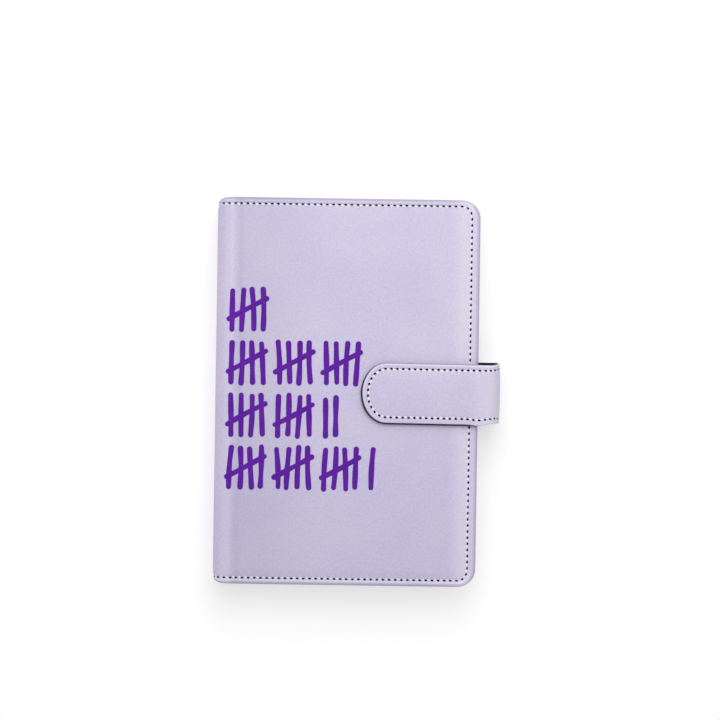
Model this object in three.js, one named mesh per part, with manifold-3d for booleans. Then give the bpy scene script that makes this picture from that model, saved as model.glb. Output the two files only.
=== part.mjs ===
// A cash envelope wallet: a padded ring binder of smooth faux leather that holds paper
// envelopes, closed and lying on its back cover. Millimetres. The origin is the centre of the
// back cover's outer face, +X points to the fore edge, +Y to the head and +Z to the front cover.
import * as THREE from 'three';
import { mergeVertices } from 'three/addons/utils/BufferGeometryUtils.js';
import Module from 'manifold-3d';

const wasm = await Module();
wasm.setup();

// Covers
const coverHeight = 190;
const coverWidth = 129.2;
const closedThickness = 31;
const cornerRadius = 9;
const edgeRoll = 1.2;
const foldRadius = 4;
const foldCornerRadius = 4;
const spineEndInset = 2.5;
const foldThickness = 1.1;
const hingeZone = 11;
const skinThickness = 0.6;
const foamThickness = 0.6;
const boardThickness = 1.2;
const liningThickness = 0.5;
const liningInset = 0.4;
const layerClearance = 0.3;
const stitchInset = 3.6;
const channelWidth = 0.8;
const channelDepth = 0.2;

// Pockets sewn to the inside of the covers
const pocketThickness = 0.5;
const pocketWidth = 94;
const pocketMargin = 2.6;
const pocketSlope = 14;
const cardSlotWidth = 84;
const cardSlotHeight = 56;
const cardSlotStep = 13;
const cardSlotCount = 3;
const cardSheet = 0.2;

// Ring mechanism
const ringWire = 2.2;
const ringRadius = 11;
const ringPitch = 19;
const ringMiddleGap = 51;
const ringFootAngle = 24;
const ringSlotClearance = 0.5;
const basePlateLength = 156;
const basePlateWidth = 18;
const basePlateRise = 3.4;
const basePlateSheet = 0.8;
const bladeThickness = 0.8;
const bladeWidth = 7;
const bladeEndClearance = 0.8;
const bladeGap = 0.3;
const rivetInset = 6;
const rivetRadius = 1.9;
const rivetHeadRadius = 3.4;
const rivetHeadHeight = 0.9;
const rivetClearance = 0.3;

// Envelopes
const envelopeWidth = 105;
const envelopeHeight = 171;
const stackThickness = 20;
const stackRidges = 20;
const ridgeDepth = 0.35;
const holeMargin = 5.5;
const holeClearance = 0.9;
const stackDip = 2.1;
const dipStart = -36;
const dipEnd = -6;
const restGap = 0.3;

// Closure strap and its magnetic snap
const strapWidth = 30;
const strapThickness = 1.9;
const strapBacking = 0.7;
const strapCentreY = -0.5;
const strapTipX = 7;
const strapTipDepth = 12.6;
const strapReach = 10.9;
const strapBend = 9;
const strapLowerBend = 8;
const strapTabLength = 8;
const strapStartGap = 0.5;
const strapCutAngle = 45;
const strapCutGap = 0.3;
const snapRadius = 7;
const snapPostHeight = 0.7;
const snapCupHeight = 0.6;
const snapGap = 0.2;

// Printed tally marks on the front cover
const tallyThickness = 0.15;
const tallyStroke = 2.6;
const tallyHeight = 22;
const tallyPitch = 5;
const tallyGroupPitch = 23.2;
const tallyLeft = -56.5;
const tallyRowTop = 39.5;
const tallyRowPitch = 25.8;
const tallyRows = [
  { groups: 1, extra: 0 },
  { groups: 3, extra: 0 },
  { groups: 2, extra: 2 },
  { groups: 3, extra: 1 },
];
const strokesInGroup = 4;

// Worked out from the sizes above
const coverThickness = skinThickness + foamThickness + boardThickness + liningThickness;
const halfWidth = coverWidth / 2;
const halfHeight = coverHeight / 2;
const foldX = -halfWidth;
const midZ = closedThickness / 2;
const spineInnerX = foldX + skinThickness + boardThickness + liningThickness;
const ringCentreX = spineInnerX + bladeThickness + ringRadius;
const curveSteps = 4;

const degrees = THREE.MathUtils.degToRad;

// Turn a closed geometry into a solid for cutting and joining, and back.
function solidOf(geometry) {
  const bare = geometry.clone();
  bare.deleteAttribute('normal');
  bare.deleteAttribute('uv');
  const merged = mergeVertices(bare, 1e-4);
  return new wasm.Manifold(new wasm.Mesh({
    numProp: 3,
    vertProperties: new Float32Array(merged.attributes.position.array),
    triVerts: new Uint32Array(merged.index.array),
  }));
}

function geometryOf(solid) {
  const { vertProperties, triVerts } = solid.getMesh();
  const geometry = new THREE.BufferGeometry();
  geometry.setAttribute('position', new THREE.BufferAttribute(new Float32Array(vertProperties), 3));
  geometry.setIndex(new THREE.BufferAttribute(new Uint32Array(triVerts), 1));
  geometry.computeVertexNormals();
  return geometry;
}

// A flat outline in X and Y, thickened from one height to another.
function plate(shape, bottom, top, segments = curveSteps) {
  const options = { depth: top - bottom, bevelEnabled: false, curveSegments: segments };
  return solidOf(new THREE.ExtrudeGeometry(shape, options).translate(0, 0, bottom));
}

// A section in X and Z, drawn out along Y.
function rail(section, from, to, segments = curveSteps) {
  const options = { depth: to - from, bevelEnabled: false, curveSegments: segments };
  const geometry = new THREE.ExtrudeGeometry(section, options);
  return solidOf(geometry.rotateX(Math.PI / 2).translate(0, to, 0));
}

function block(x0, x1, y0, y1, z0, z1) {
  const geometry = new THREE.BoxGeometry(x1 - x0, y1 - y0, z1 - z0);
  return solidOf(geometry.translate((x0 + x1) / 2, (y0 + y1) / 2, (z0 + z1) / 2));
}

// A round pin along X.
function pinAlongX(radius, x0, x1, y, z, sides = 16) {
  const geometry = new THREE.CylinderGeometry(radius, radius, x1 - x0, sides);
  return solidOf(geometry.rotateZ(Math.PI / 2).translate((x0 + x1) / 2, y, z));
}

const finishes = {
  leather: { color: 0xc8c0d8, roughness: 0.55, metalness: 0 },
  lining: { color: 0xbfb6d2, roughness: 0.7, metalness: 0 },
  backing: { color: 0x2a2436, roughness: 0.8, metalness: 0 },
  foam: { color: 0xf0eee8, roughness: 0.9, metalness: 0 },
  board: { color: 0xa9a39a, roughness: 0.9, metalness: 0 },
  metal: { color: 0xd5d6d8, roughness: 0.22, metalness: 1 },
  paper: { color: 0xf4f1ea, roughness: 0.85, metalness: 0 },
  print: { color: 0x6226a0, roughness: 0.5, metalness: 0 },
};

function piece(name, finish, solid) {
  const mesh = new THREE.Mesh(geometryOf(solid), new THREE.MeshStandardMaterial(finishes[finish]));
  mesh.name = name;
  return mesh;
}

// Both covers share one build. Their outer face is at height 0 and they grow downwards, with
// rounded corners at the fore edge and the fold to the spine on the left.
function coverOutline(inset, left, leftRadius = 0) {
  const right = halfWidth - inset;
  const top = halfHeight - inset;
  const radius = Math.max(cornerRadius - inset, 0.5);
  const outline = new THREE.Shape();
  if (leftRadius) {
    outline.absarc(left + leftRadius, leftRadius - top, leftRadius, Math.PI, Math.PI * 1.5);
  } else {
    outline.moveTo(left, -top);
  }
  outline.lineTo(right - radius, -top);
  outline.absarc(right - radius, radius - top, radius, -Math.PI / 2, 0);
  outline.absarc(right - radius, top - radius, radius, 0, Math.PI / 2);
  if (leftRadius) {
    outline.absarc(left + leftRadius, top - leftRadius, leftRadius, Math.PI / 2, Math.PI);
  } else {
    outline.lineTo(left, top);
  }
  outline.closePath();
  return outline;
}

// The skin runs flat over the cover and rolls down into the spine at the fold.
function skinSection() {
  const centreX = foldX + foldRadius;
  const innerRadius = foldRadius - foldThickness;
  const section = new THREE.Shape();
  section.moveTo(halfWidth, -skinThickness);
  section.lineTo(halfWidth, 0);
  section.lineTo(centreX, 0);
  section.absarc(centreX, -foldRadius, foldRadius, Math.PI / 2, Math.PI);
  section.lineTo(foldX + foldThickness, -foldRadius);
  section.absarc(centreX, -foldRadius, innerRadius, Math.PI, Math.PI / 2, true);
  section.lineTo(centreX, -skinThickness);
  section.closePath();
  return section;
}

function coverSkin() {
  const rimBottom = liningThickness - coverThickness;
  const rimLeft = foldX + foldRadius;
  const wall = plate(coverOutline(0, rimLeft), rimBottom, 0)
    .subtract(plate(coverOutline(skinThickness, rimLeft - 1), rimBottom - 1, 1));
  const plan = coverOutline(edgeRoll, foldX + edgeRoll, foldCornerRadius - edgeRoll);
  const rolled = solidOf(new THREE.ExtrudeGeometry(plan, {
    depth: closedThickness,
    bevelSize: edgeRoll,
    bevelThickness: edgeRoll,
    bevelSegments: 3,
    curveSegments: curveSteps,
  }).translate(0, 0, -closedThickness - edgeRoll));
  const channelInner = stitchInset + channelWidth / 2;
  const channelOuter = stitchInset - channelWidth / 2;
  const channel = plate(coverOutline(channelOuter, foldX), -channelDepth, 1)
    .subtract(plate(coverOutline(channelInner, foldX - 1), -1, 2));
  return rail(skinSection(), -halfHeight, halfHeight)
    .add(wall)
    .intersect(rolled)
    .subtract(channel);
}

function coverLayers(side, cutTab) {
  const boardLeft = foldX + hingeZone;
  const wallInset = skinThickness + layerClearance;
  const foamTop = -skinThickness;
  const boardTop = foamTop - foamThickness;
  const liningTop = boardTop - boardThickness;
  const linings = coverOutline(liningInset, foldX + foldRadius + layerClearance);
  const layers = [
    piece(`${side}_skin`, 'leather', cutTab(coverSkin())),
    piece(`${side}_foam`, 'foam', plate(coverOutline(wallInset, boardLeft), boardTop, foamTop)),
    piece(`${side}_board`, 'board', cutTab(plate(coverOutline(wallInset, boardLeft), liningTop, boardTop))),
    piece(`${side}_lining`, 'lining', plate(linings, -coverThickness, liningTop)),
  ];
  return layers;
}

// A slip pocket: one panel whose free edge slopes, sewn to the lining on its other three sides.
function slipPocket(name) {
  const right = halfWidth - pocketMargin;
  const top = halfHeight - pocketMargin;
  const left = right - pocketWidth;
  const outline = new THREE.Shape();
  outline.moveTo(left, -top);
  outline.lineTo(right - cornerRadius, -top);
  outline.absarc(right - cornerRadius, cornerRadius - top, cornerRadius, -Math.PI / 2, 0);
  outline.absarc(right - cornerRadius, top - cornerRadius, cornerRadius, 0, Math.PI / 2);
  outline.lineTo(left + pocketSlope, top);
  outline.closePath();
  return piece(name, 'lining', plate(outline, -coverThickness - pocketThickness, -coverThickness));
}

// Three card slots sewn to the front pocket, each lying a little lower than the one behind it.
function cardSlots() {
  const right = halfWidth - pocketMargin - cornerRadius;
  const base = -coverThickness - pocketThickness;
  const bottom = cornerRadius - halfHeight;
  let slots = null;
  for (let i = 0; i < cardSlotCount; i += 1) {
    const top = bottom + cardSlotHeight + i * cardSlotStep;
    const depth = (cardSlotCount - i) * cardSheet;
    const slot = block(right - cardSlotWidth, right, bottom, top, base - depth, base);
    slots = slots ? slots.add(slot) : slot;
  }
  return piece('card_slots', 'lining', slots);
}

// The round metal half of the snap that is set in the front cover, under the strap.
function snapDisc(name, bottom, height) {
  const x = strapTipX + strapTipDepth;
  const geometry = new THREE.CylinderGeometry(snapRadius, snapRadius, height, 24);
  const turned = geometry.rotateX(Math.PI / 2).translate(x, strapCentreY, bottom + height / 2);
  return piece(name, 'metal', solidOf(turned));
}

// Tally marks: tall strokes with round ends, four side by side and one across them.
function stroke(x0, y0, x1, y1) {
  const angle = Math.atan2(y1 - y0, x1 - x0);
  const radius = tallyStroke / 2;
  const outline = new THREE.Shape();
  outline.absarc(x1, y1, radius, angle - Math.PI / 2, angle + Math.PI / 2);
  outline.absarc(x0, y0, radius, angle + Math.PI / 2, angle + Math.PI * 1.5);
  outline.closePath();
  return plate(outline, 0, tallyThickness, 2);
}

// A hand never repeats a stroke, so each one leans and stretches a little by a fixed rule.
function uprightStroke(x, y, count) {
  const lean = 0.5 * Math.sin(count * 2.3);
  const stretch = 0.8 * Math.sin(count * 1.7 + 1);
  const half = (tallyHeight - tallyStroke) / 2;
  return stroke(x - lean, y - half + stretch / 2, x + lean, y + half + stretch);
}

function tallyMarks() {
  const marks = [];
  let count = 0;
  tallyRows.forEach((row, r) => {
    const y = tallyRowTop - r * tallyRowPitch;
    for (let g = 0; g < row.groups; g += 1) {
      const x = tallyLeft + g * tallyGroupPitch;
      const reach = (strokesInGroup - 1) * tallyPitch + 1;
      let group = stroke(x - 1, y - tallyHeight * 0.22, x + reach, y + tallyHeight * 0.26);
      for (let i = 0; i < strokesInGroup; i += 1) {
        group = group.add(uprightStroke(x + i * tallyPitch, y, count));
        count += 1;
      }
      marks.push(piece(`tally_${r + 1}_${g + 1}`, 'print', group));
    }
    for (let e = 0; e < row.extra; e += 1) {
      const x = tallyLeft + row.groups * tallyGroupPitch + e * tallyPitch;
      marks.push(piece(`tally_${r + 1}_single_${e + 1}`, 'print', uprightStroke(x, y, count)));
      count += 1;
    }
  });
  return marks;
}

function frontCover() {
  const group = new THREE.Group();
  group.add(...coverLayers('front', (solid) => solid));
  group.add(slipPocket('front_pocket'), cardSlots(), ...tallyMarks());
  group.add(snapDisc('snap_post', 0, snapPostHeight));
  group.position.z = closedThickness;
  return group;
}

// The strap's tab is sewn into the back cover's fore edge, in a notch of the board and the rim.
function backCover() {
  const cutTab = (solid) => {
    const side = strapWidth / 2 + layerClearance;
    const left = halfWidth - strapTabLength - layerClearance;
    const top = -skinThickness - foamThickness;
    const notch = block(left, halfWidth + 1, -side - strapCentreY, side - strapCentreY, top - 2, top);
    return solid.subtract(notch);
  };
  const group = new THREE.Group();
  group.add(...coverLayers('back', cutTab));
  group.add(slipPocket('back_pocket'));
  group.rotation.x = Math.PI;
  return group;
}

// The spine is a narrow panel between the two folds, in the same layers as the covers.
function spine() {
  const low = foldRadius;
  const high = closedThickness - foldRadius - layerClearance;
  const skinEnd = halfHeight - spineEndInset;
  const end = skinEnd - liningInset;
  const boardX = foldX + skinThickness;
  const liningX = boardX + boardThickness;
  const boardEnd = skinEnd - skinThickness - layerClearance;
  let board = block(boardX, liningX, -boardEnd, boardEnd, low, high);
  let lining = block(liningX, spineInnerX, -end, end, low, high);
  for (const y of rivetPlaces()) {
    const hole = pinAlongX(rivetRadius + rivetClearance, boardX - 0.001, spineInnerX + 1, y, midZ);
    board = board.subtract(hole);
    lining = lining.subtract(hole);
  }
  const group = new THREE.Group();
  group.add(piece('spine_skin', 'leather', block(foldX, boardX, -skinEnd, skinEnd, low, high)));
  group.add(piece('spine_board', 'board', board));
  group.add(piece('spine_lining', 'lining', lining));
  return group;
}

function rivetPlaces() {
  const place = basePlateLength / 2 - rivetInset;
  return [-place, place];
}

function ringPlaces() {
  const inner = ringMiddleGap / 2;
  const places = [];
  for (let i = 2; i >= 0; i -= 1) places.push(-inner - i * ringPitch);
  for (let i = 0; i < 3; i += 1) places.push(inner + i * ringPitch);
  return places;
}

// A half ring swings from its blade round to the middle, seen along Y.
class RingArc extends THREE.Curve {
  constructor(y, side, radius) {
    super();
    this.y = y;
    this.side = side;
    this.radius = radius;
  }

  getPoint(t, target = new THREE.Vector3()) {
    const angle = degrees(THREE.MathUtils.lerp(ringFootAngle - 8, 180, t));
    const x = ringCentreX - this.radius * Math.cos(angle);
    return target.set(x, this.y, midZ + this.side * this.radius * Math.sin(angle));
  }
}

function ringTube(y, side, tubeRadius) {
  const section = new THREE.Shape();
  section.absarc(0, 0, tubeRadius, 0, Math.PI * 2);
  const path = new RingArc(y, side, ringRadius);
  const options = { steps: 10, extrudePath: path, curveSegments: 4 };
  return solidOf(new THREE.ExtrudeGeometry(section, options));
}

function ringMechanism() {
  const group = new THREE.Group();
  const bladeX = spineInnerX + bladeThickness;
  const halfBase = basePlateLength / 2;
  // The base is an arched sheet whose long edges rest on the spine's lining.
  const arch = new THREE.Shape();
  const halfBaseWidth = basePlateWidth / 2;
  const crown = (lift, side) => new THREE.Vector2(spineInnerX + lift, midZ + side);
  const archPoints = [];
  const archSteps = 6;
  for (let i = 0; i <= archSteps; i += 1) {
    const a = Math.PI * i / archSteps;
    archPoints.push(crown(basePlateRise * Math.sin(a) ** 0.6, -halfBaseWidth * Math.cos(a)));
  }
  for (let i = archSteps; i >= 0; i -= 1) {
    const a = Math.PI * i / archSteps;
    const lift = (basePlateRise - basePlateSheet) * Math.sin(a) ** 0.6;
    archPoints.push(crown(lift, -(halfBaseWidth - basePlateSheet) * Math.cos(a)));
  }
  arch.setFromPoints(archPoints);
  let base = rail(arch, -halfBase, halfBase);
  for (const y of ringPlaces()) {
    for (const side of [-1, 1]) {
      base = base.subtract(ringTube(y, side, ringWire / 2 + ringSlotClearance));
    }
  }
  for (const y of rivetPlaces()) {
    base = base.subtract(pinAlongX(rivetRadius + rivetClearance, spineInnerX - 1, bladeX + 9, y, midZ));
    const headX = spineInnerX + basePlateRise;
    const boardX = foldX + skinThickness;
    const rivet = pinAlongX(rivetRadius, boardX, headX + rivetHeadHeight / 2, y, midZ)
      .add(pinAlongX(rivetHeadRadius, headX, headX + rivetHeadHeight, y, midZ));
    group.add(piece(`rivet_${y < 0 ? 'tail' : 'head'}`, 'metal', rivet));
  }
  group.add(piece('ring_base', 'metal', base));
  for (const side of [-1, 1]) {
    const name = side < 0 ? 'back' : 'front';
    const near = midZ + side * bladeGap / 2;
    const far = midZ + side * bladeWidth;
    const z0 = Math.min(near, far);
    const z1 = Math.max(near, far);
    const half = halfBase - rivetInset - rivetRadius - bladeEndClearance;
    const blade = block(spineInnerX, bladeX, -half, half, z0, z1);
    group.add(piece(`ring_blade_${name}`, 'metal', blade));
    ringPlaces().forEach((y, i) => {
      const tube = ringTube(y, side, ringWire / 2);
      const below = block(spineInnerX - 5, bladeX, y - 5, y + 5, midZ - 12, midZ + 12);
      group.add(piece(`ring_${i + 1}_${name}`, 'metal', tube.subtract(below)));
    });
  }
  return group;
}

// Each envelope hangs on the rings by its holes, so the pile takes the rings' curve at both
// sides, and it dips from the rings to rest on the back pocket.
function envelopes() {
  const restZ = coverThickness + pocketThickness + restGap;
  const holeX = (height) => ringCentreX + Math.sqrt(ringRadius ** 2 - (height - stackThickness / 2) ** 2);
  const raised = (x) => stackDip * (1 - THREE.MathUtils.smoothstep(x, dipStart, dipEnd));
  const ridge = stackThickness / stackRidges;
  const dipSteps = 8;
  const points = [];
  const edge = (height, offset, inward) => {
    const x = holeX(height) + offset + inward;
    points.push(new THREE.Vector2(x, restZ + raised(x) + height));
  };
  for (let i = 0; i < stackRidges; i += 1) {
    edge(i * ridge, envelopeWidth - holeMargin, -ridgeDepth);
    edge((i + 0.5) * ridge, envelopeWidth - holeMargin, 0);
  }
  edge(stackThickness, envelopeWidth - holeMargin, -ridgeDepth);
  for (let i = dipSteps; i >= 0; i -= 1) {
    const x = THREE.MathUtils.lerp(dipStart, dipEnd, i / dipSteps);
    points.push(new THREE.Vector2(x, restZ + raised(x) + stackThickness));
  }
  for (let i = stackRidges; i > 0; i -= 1) {
    edge(i * ridge, -holeMargin, ridgeDepth);
    edge((i - 0.5) * ridge, -holeMargin, 0);
  }
  edge(0, -holeMargin, ridgeDepth);
  for (let i = 0; i <= dipSteps; i += 1) {
    const x = THREE.MathUtils.lerp(dipStart, dipEnd, i / dipSteps);
    points.push(new THREE.Vector2(x, restZ + raised(x)));
  }
  let stack = rail(new THREE.Shape(points), -envelopeHeight / 2, envelopeHeight / 2);
  for (const y of ringPlaces()) {
    for (const side of [-1, 1]) {
      stack = stack.subtract(ringTube(y, side, ringWire / 2 + holeClearance));
    }
  }
  return piece('envelopes', 'paper', stack);
}

// The strap leaves the back cover's fore edge, climbs past the envelopes and bends over onto
// the front cover. It is a leather face sewn to a dark backing, and it is split at the bend,
// where it turns when the snap is pulled open.
const strapOuterX = halfWidth + strapReach;
const strapUnder = closedThickness + snapPostHeight + snapGap + snapCupHeight;
const strapBendX = strapOuterX - strapThickness - strapBend;
const strapBendZ = strapUnder - strapBend;
const strapTabLow = skinThickness + foamThickness;
const strapLowerX = strapOuterX - strapThickness - strapLowerBend;
const strapMiddle = strapTabLow + boardThickness / 2;
const strapLowerZ = strapMiddle + strapThickness / 2 + strapLowerBend;
const strapY0 = strapCentreY - strapWidth / 2;
const strapY1 = strapCentreY + strapWidth / 2;
const strapSteps = 6;

// One layer of the fixed part, between two depths measured from the strap's inner face.
function strapSideLayer(inner, outer, withTab) {
  const cut = degrees(strapCutAngle);
  const startX = halfWidth + strapStartGap;
  const topOfStart = strapLowerZ - strapLowerBend;
  const tabHigh = strapTabLow + boardThickness;
  const tabX = halfWidth - strapTabLength;
  const section = new THREE.Shape();
  section.moveTo(startX, topOfStart - outer);
  section.absarc(strapLowerX, strapLowerZ, strapLowerBend + outer, -Math.PI / 2, 0);
  section.absarc(strapBendX, strapBendZ, strapBend + outer, 0, cut);
  section.absarc(strapBendX, strapBendZ, strapBend + inner, cut, 0, true);
  section.absarc(strapLowerX, strapLowerZ, strapLowerBend + inner, 0, -Math.PI / 2, true);
  section.lineTo(startX, topOfStart - inner);
  section.closePath();
  const layer = rail(section, strapY0, strapY1, strapSteps);
  if (!withTab) return layer;
  const tabTop = Math.min(tabHigh, topOfStart - inner);
  return layer.add(block(tabX, startX + 1, strapY0, strapY1, strapTabLow, tabTop));
}

// One layer of the flap, with the round tip cut from a strip that follows the bend.
function strapFlapLayer(inner, outer) {
  const start = degrees(strapCutAngle) + strapCutGap / strapBend;
  const section = new THREE.Shape();
  section.absarc(strapBendX, strapBendZ, strapBend + outer, start, Math.PI / 2);
  section.lineTo(strapTipX, strapUnder + outer);
  section.lineTo(strapTipX, strapUnder + inner);
  section.absarc(strapBendX, strapBendZ, strapBend + inner, Math.PI / 2, start, true);
  section.closePath();
  const tipX = strapTipX + strapTipDepth;
  const tip = new THREE.Shape();
  tip.absellipse(tipX, strapCentreY, strapTipDepth, strapWidth / 2, Math.PI / 2, Math.PI * 1.5);
  tip.lineTo(strapOuterX + 1, strapY0);
  tip.lineTo(strapOuterX + 1, strapY1);
  tip.closePath();
  return rail(section, strapY0, strapY1, strapSteps)
    .intersect(plate(tip, 0, closedThickness * 2, 10));
}

function strap() {
  const group = new THREE.Group();
  const sideFace = strapSideLayer(strapBacking, strapThickness, true);
  group.add(piece('strap_side', 'leather', sideFace));
  group.add(piece('strap_side_backing', 'backing', strapSideLayer(0, strapBacking, false).subtract(sideFace)));
  group.add(piece('strap_flap', 'leather', strapFlapLayer(strapBacking, strapThickness)));
  group.add(piece('strap_flap_backing', 'backing', strapFlapLayer(0, strapBacking)));
  group.add(snapDisc('snap_cup', strapUnder - snapCupHeight, snapCupHeight));
  return group;
}

const wallet = new THREE.Group();
wallet.add(backCover(), spine(), ringMechanism(), envelopes(), frontCover(), strap());
wallet.updateMatrixWorld(true);

export default wallet;
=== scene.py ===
# %% [markdown]
# # A cash envelope wallet
# The wallet is a ring binder in padded, lavender faux leather. It lies closed on its back
# cover, with a strap that comes round the fore edge and snaps onto the front. The frame below
# holds its hard parts and its hinges, and this file dresses them: leather, seams, print,
# metal and paper. All sizes are millimetres in the code and metres in Blender.

# %% Load the frame
import math
import random

import bmesh
import bpy
from mathutils import Matrix, Vector


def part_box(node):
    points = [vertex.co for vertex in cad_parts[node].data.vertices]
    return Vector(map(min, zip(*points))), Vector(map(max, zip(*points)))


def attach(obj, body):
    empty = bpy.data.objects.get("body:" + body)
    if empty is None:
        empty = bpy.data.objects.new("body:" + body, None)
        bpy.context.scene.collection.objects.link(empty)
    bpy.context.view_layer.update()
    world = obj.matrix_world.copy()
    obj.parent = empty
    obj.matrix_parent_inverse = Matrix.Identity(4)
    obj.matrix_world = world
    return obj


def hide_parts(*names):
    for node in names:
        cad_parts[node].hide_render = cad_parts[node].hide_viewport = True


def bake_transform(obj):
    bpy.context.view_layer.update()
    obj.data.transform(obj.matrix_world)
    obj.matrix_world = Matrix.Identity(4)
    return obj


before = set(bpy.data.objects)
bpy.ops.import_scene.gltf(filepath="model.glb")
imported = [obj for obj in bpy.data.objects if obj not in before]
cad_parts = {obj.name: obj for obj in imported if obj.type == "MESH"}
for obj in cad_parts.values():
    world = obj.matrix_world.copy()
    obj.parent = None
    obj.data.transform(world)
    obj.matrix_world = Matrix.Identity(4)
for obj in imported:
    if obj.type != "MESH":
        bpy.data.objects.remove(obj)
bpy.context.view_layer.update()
MM = 0.001

# %% [markdown]
# The driving sizes are read from the frame's own nodes wherever a node shows them, so the
# leather always fits the boards under it. The rest are sizes of stitching and padding that
# the solids don't carry.

# %% Sizes
def span(node, axis):
    """Lowest and highest value of a node along an axis, in millimetres."""
    low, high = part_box(node)
    return low[axis] / MM, high[axis] / MM


X, Y, Z = range(3)
FOLD_X, FORE_X = span("front_skin", X)
TAIL_Y, HEAD_Y = span("front_skin", Y)
HALF_Y = (HEAD_Y - TAIL_Y) / 2
TOP_Z = span("front_skin", Z)[1]
COVER_THICK = TOP_Z - span("front_lining", Z)[0]
CORNER = 9.0                 # radius of the cover's fore corners
SEAM_SIDE = 3.2              # the seam's inset at head and tail
SEAM_FORE = 4.2              # the seam's inset at the fore edge
SEAM_PITCH = 3.0
SEAM_DEPTH = 0.34
GROOVE = 0.5                 # width of the valley that a seam presses
PADDING = 0.42               # how far the foam lifts the skin inside the seam
PADDING_REACH = 4.4
RIDGE = 1.95                 # inset of the stretched ridge outside the seam
ROLL = 1.8                   # width of the rolled rim
ROLL_DROP = 1.4
LEATHER = 0.45               # thickness of the sheet
FOLD_REACH = 5.5             # the rounded shoulder of the fold reaches this far across
FOLD_DROP = 4.6              # and this far down
HINGE_LINE = FOLD_X + 10.9   # where the skin bends beside the board's edge
GRID = 2.2                   # step of the plain grid in the middle of a cover
print("cover", round(FORE_X - FOLD_X, 1), "by", round(HEAD_Y - TAIL_Y, 1), "top at", TOP_Z)

# %% [markdown]
# ## Helpers
# A piece is a list of points and faces, given in millimetres. Doubled points are merged, the
# faces are turned outwards, and the object stays at the origin with its place in its mesh.

# %% Make a piece from points and faces
MERGE = 0.002


def add_object(name, data):
    thing = bpy.data.objects.new(name, data)
    bpy.context.scene.collection.objects.link(thing)
    return thing


def new_piece(name, points, faces, smooth=True, pale=None):
    """One value per point of painted light: above zero a painted highlight, below it painted shade.
    """
    mesh = bpy.data.meshes.new(name)
    mesh.from_pydata([tuple(v * MM for v in p) for p in points], [], faces)
    if pale:
        mesh.attributes.new("pale", "FLOAT", "POINT").data.foreach_set("value", pale)
    piece = add_object(name, mesh)
    shape = bmesh.new()
    shape.from_mesh(mesh)
    bmesh.ops.remove_doubles(shape, verts=shape.verts, dist=MERGE * MM)
    bmesh.ops.dissolve_degenerate(shape, edges=shape.edges, dist=1e-7)
    bmesh.ops.recalc_face_normals(shape, faces=shape.faces)
    shape.to_mesh(mesh)
    shape.free()
    for face in mesh.polygons:
        face.use_smooth = smooth
    return piece


def grid_faces(rows, columns, start=0, flip=False):
    """Faces of a grid of points that is stored row after row."""
    faces = []
    for r in range(rows - 1):
        for c in range(columns - 1):
            a = start + r * columns + c
            quad = (a, a + 1, a + columns + 1, a + columns)
            faces.append(quad[::-1] if flip else quad)
    return faces


def add_modifier(piece, kind, **values):
    modifier = piece.modifiers.new(kind.title(), kind)
    for key, value in values.items():
        setattr(modifier, key, value)
    return modifier


def freeze(piece):
    """Turns a piece and its modifiers into a plain mesh."""
    depsgraph = bpy.context.evaluated_depsgraph_get()
    mesh = bpy.data.meshes.new_from_object(piece.evaluated_get(depsgraph), depsgraph=depsgraph)
    piece.modifiers.clear()
    piece.data = mesh
    mesh.name = piece.name
    return piece


def triangles(piece):
    return sum(len(face.vertices) - 2 for face in piece.data.polygons)


def smoothstep(low, high, value):
    t = min(max((value - low) / (high - low), 0.0), 1.0)
    return t * t * (3 - 2 * t)


def bell(value, centre, width):
    return math.exp(-(((value - centre) / width) ** 2))


def steps(low, high, step):
    """Evenly spaced values from low to high, no further apart than step."""
    count = max(1, math.ceil((high - low) / step))
    return [low + (high - low) * i / count for i in range(count + 1)]

# %% [markdown]
# ## Shared effects
# Leather grain, soft blotches and uneven dye appear in several materials, so each is a node
# group with named inputs. The dye group also mixes in the painted highlight and shade that a
# piece stores on its points. The group only works out numbers and colours. The shader itself,
# with its roughness and its coat, stays in the material.

# %% Node helpers
FLOAT, VECTOR, COLOUR = "NodeSocketFloat", "NodeSocketVector", "NodeSocketColor"
GEOMETRY = "NodeSocketGeometry"


def new_group(name, inputs, outputs, kind="ShaderNodeTree"):
    """An empty group, with the sockets that it is given and the ones that it makes."""
    tree = bpy.data.node_groups.new(name, kind)
    for label, socket_kind, default in inputs:
        socket = tree.interface.new_socket(label, in_out="INPUT", socket_type=socket_kind)
        if default is not None:
            socket.default_value = default
    for label, socket_kind in outputs:
        tree.interface.new_socket(label, in_out="OUTPUT", socket_type=socket_kind)
    start, end = tree.nodes.new("NodeGroupInput"), tree.nodes.new("NodeGroupOutput")
    return tree, start.outputs, end.inputs


def add_node(tree, kind, values=None, **settings):
    """A node with its properties set, and its inputs linked or given a value."""
    node = tree.nodes.new(kind)
    for key, value in settings.items():
        setattr(node, key, value)
    for key, value in (values or {}).items():
        if isinstance(value, bpy.types.NodeSocket):
            tree.links.new(value, node.inputs[key])
        else:
            node.inputs[key].default_value = value
    return node


def maths(tree, operation, first, second):
    return add_node(tree, "ShaderNodeMath", {0: first, 1: second}, operation=operation).outputs[0]


def map_range(tree, value, low, high, to_low=0.0, to_high=1.0):
    return add_node(tree, "ShaderNodeMapRange",
                    {"Value": value, "From Min": low, "From Max": high, "To Min": to_low,
                     "To Max": to_high}).outputs["Result"]


def mix_colours(tree, factor, first, second, blend="MIX"):
    return add_node(tree, "ShaderNodeMix", {"Factor": factor, "A": first, "B": second},
                    data_type="RGBA", blend_type=blend).outputs["Result"]

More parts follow.
